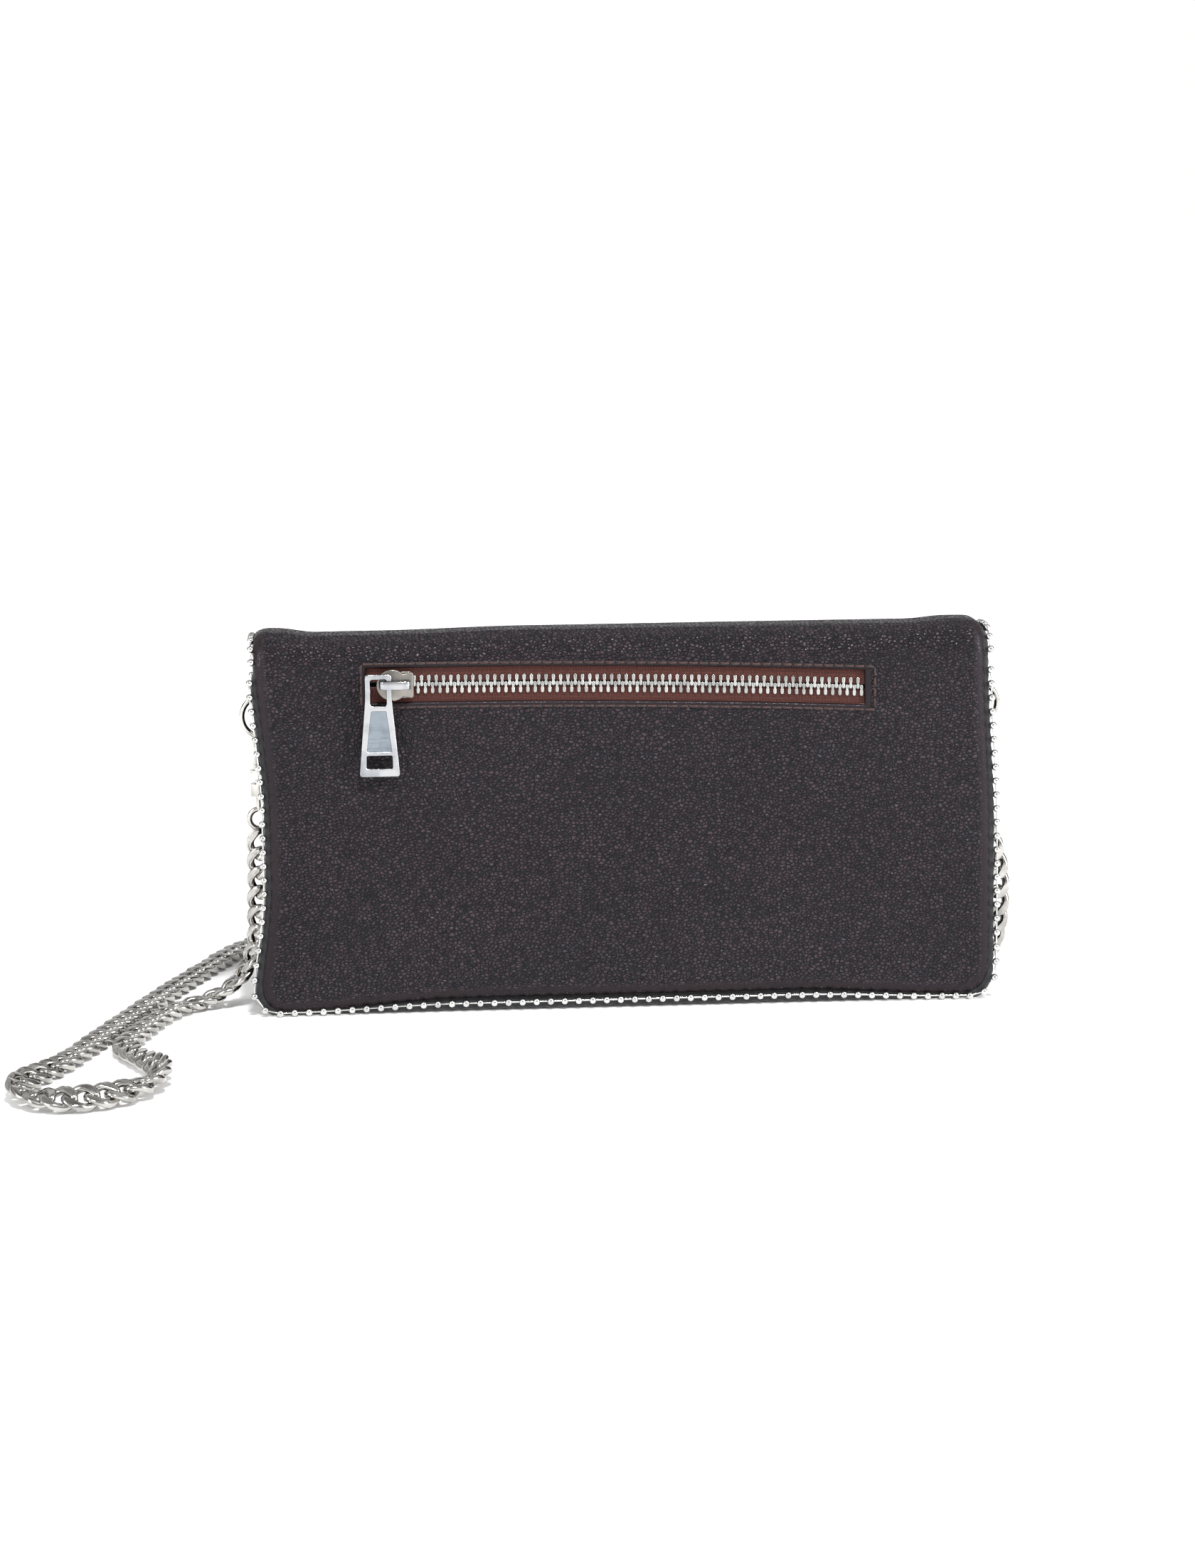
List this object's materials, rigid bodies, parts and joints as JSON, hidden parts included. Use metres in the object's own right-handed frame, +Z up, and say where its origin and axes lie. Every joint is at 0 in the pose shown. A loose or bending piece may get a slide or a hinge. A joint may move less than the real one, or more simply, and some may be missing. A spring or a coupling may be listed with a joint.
{
  "type": "chain wallet",
  "caption": "Fold-over leather clutch wallet with a zipped back pocket, beaded piping, a magnetic flap, side rings with swivel clasps and a detachable curb chain strap.",
  "frame": {"origin": "middle of the base strip's underside, on the surface the wallet stands on", "axes": "+X along the width, to the right when looking at the zipped back; -Y out of the zipped back; +Y out of the flap side; +Z up"},
  "size_m": [0.3105, 0.2162, 0.122],
  "materials": {
    "leather": "pebbled grain, semi-matt",
    "smooth_leather": "smooth, semi-matt",
    "lining_cloth": "plain woven lining",
    "foam": "open foam padding",
    "board": "stiff board",
    "zip_tape": "woven tape",
    "zip_metal": "bright nickel",
    "thread": "waxed thread",
    "piping_cord": "black corded trim",
    "bead_metal": "bright nickel beads",
    "magnet_metal": "plated magnet snap",
    "slider_metal": "die-cast, satin nickel",
    "puller_metal": "polished with light scratches",
    "chain_metal": "bright nickel curb chain",
    "clasp_metal": "bright nickel"
  },
  "bodies": {
    "root": {"back_panel": "leather", "back_foam": "foam", "pocket_lining": "lining_cloth", "back_board": "board", "back_lining": "lining_cloth", "zip_tape_upper": "zip_tape", "zip_tape_lower": "zip_tape", "zip_teeth_upper": "zip_metal", "zip_teeth_lower": "zip_metal", "zip_top_stops": "zip_metal", "zip_bottom_stop": "zip_metal", "zip_stitching": "thread", "top_fold": "leather", "fold_lining": "lining_cloth", "divider": "lining_cloth", "card_slots": "smooth_leather", "gusset_left": "smooth_leather", "gusset_right": "smooth_leather", "base_strip": "smooth_leather", "front_lining": "lining_cloth", "front_board": "board", "front_panel": "leather", "magnet_socket": "magnet_metal", "piping_back": "piping_cord", "beads_back": "bead_metal", "piping_fold": "piping_cord", "beads_fold": "bead_metal", "ring_tab_left": "smooth_leather", "ring_tab_right": "smooth_leather", "tab_rivets": "clasp_metal", "chain": "chain_metal"},
    "flap": {"flap_panel": "leather", "flap_board": "board", "flap_lining": "lining_cloth", "magnet_stud": "magnet_metal", "piping_flap": "piping_cord", "beads_flap": "bead_metal"},
    "slider": {"slider_body": "slider_metal", "slider_bridge": "slider_metal"},
    "puller": {"puller": "puller_metal"},
    "ring_left": {"ring_left": "clasp_metal"},
    "hook_left": {"hook_left": "clasp_metal"},
    "gate_left": {"gate_left": "clasp_metal"},
    "swivel_left": {"swivel_left": "clasp_metal"},
    "ring_right": {"ring_right": "clasp_metal"},
    "hook_right": {"hook_right": "clasp_metal"},
    "gate_right": {"gate_right": "clasp_metal"},
    "swivel_right": {"swivel_right": "clasp_metal"}
  },
  "joints": [
    {"name": "zip_slide", "type": "slide", "parent": "root", "child": "slider", "axis": [0.9997, 0, -0.0227], "range_m": [0, 0.143], "deforming": ["zip_teeth_upper", "zip_teeth_lower"]},
    {"name": "puller_turn", "type": "hinge", "parent": "slider", "child": "puller", "pos_m": [-0.07438, -0.0166, 0.10619], "axis": [0.0227, 0, 0.9997], "range_deg": [0, 50]},
    {"name": "flap_open", "type": "hinge", "parent": "root", "child": "flap", "pos_m": [0, 0, 0.116], "axis": [1, 0, 0], "range_deg": [0, 150], "deforming": ["top_fold", "fold_lining", "piping_fold", "beads_fold"]},
    {"name": "ring_left_turn", "type": "hinge", "parent": "root", "child": "ring_left", "pos_m": [-0.1132, 0, 0.095], "axis": [0, 0, 1], "range_deg": [-12, 12]},
    {"name": "hook_left_swing", "type": "hinge", "parent": "ring_left", "child": "hook_left", "pos_m": [-0.1164, 0, 0.0887], "axis": [1, 0, 0], "range_deg": [-5, 5]},
    {"name": "gate_left_open", "type": "hinge", "parent": "hook_left", "child": "gate_left", "pos_m": [-0.1164, 0.005, 0.0831], "axis": [1, 0, 0], "range_deg": [0, 20], "stiffness_Nm_per_rad": 0.002, "springref_deg": -5.73},
    {"name": "swivel_left_turn", "type": "hinge", "parent": "hook_left", "child": "swivel_left", "pos_m": [-0.1164, 0, 0.0715], "axis": [0, 0, 1], "range_deg": [-90, 90]},
    {"name": "ring_right_turn", "type": "hinge", "parent": "root", "child": "ring_right", "pos_m": [0.1132, 0, 0.095], "axis": [0, 0, 1], "range_deg": [-12, 12]},
    {"name": "hook_right_swing", "type": "hinge", "parent": "ring_right", "child": "hook_right", "pos_m": [0.1164, 0, 0.0887], "axis": [1, 0, 0], "range_deg": [-5, 5]},
    {"name": "gate_right_open", "type": "hinge", "parent": "hook_right", "child": "gate_right", "pos_m": [0.1164, 0.005, 0.0831], "axis": [1, 0, 0], "range_deg": [0, 20], "stiffness_Nm_per_rad": 0.002, "springref_deg": -5.73},
    {"name": "swivel_right_turn", "type": "hinge", "parent": "hook_right", "child": "swivel_right", "pos_m": [0.1164, 0, 0.0715], "axis": [0, 0, 1], "range_deg": [-90, 90]}
  ]
}
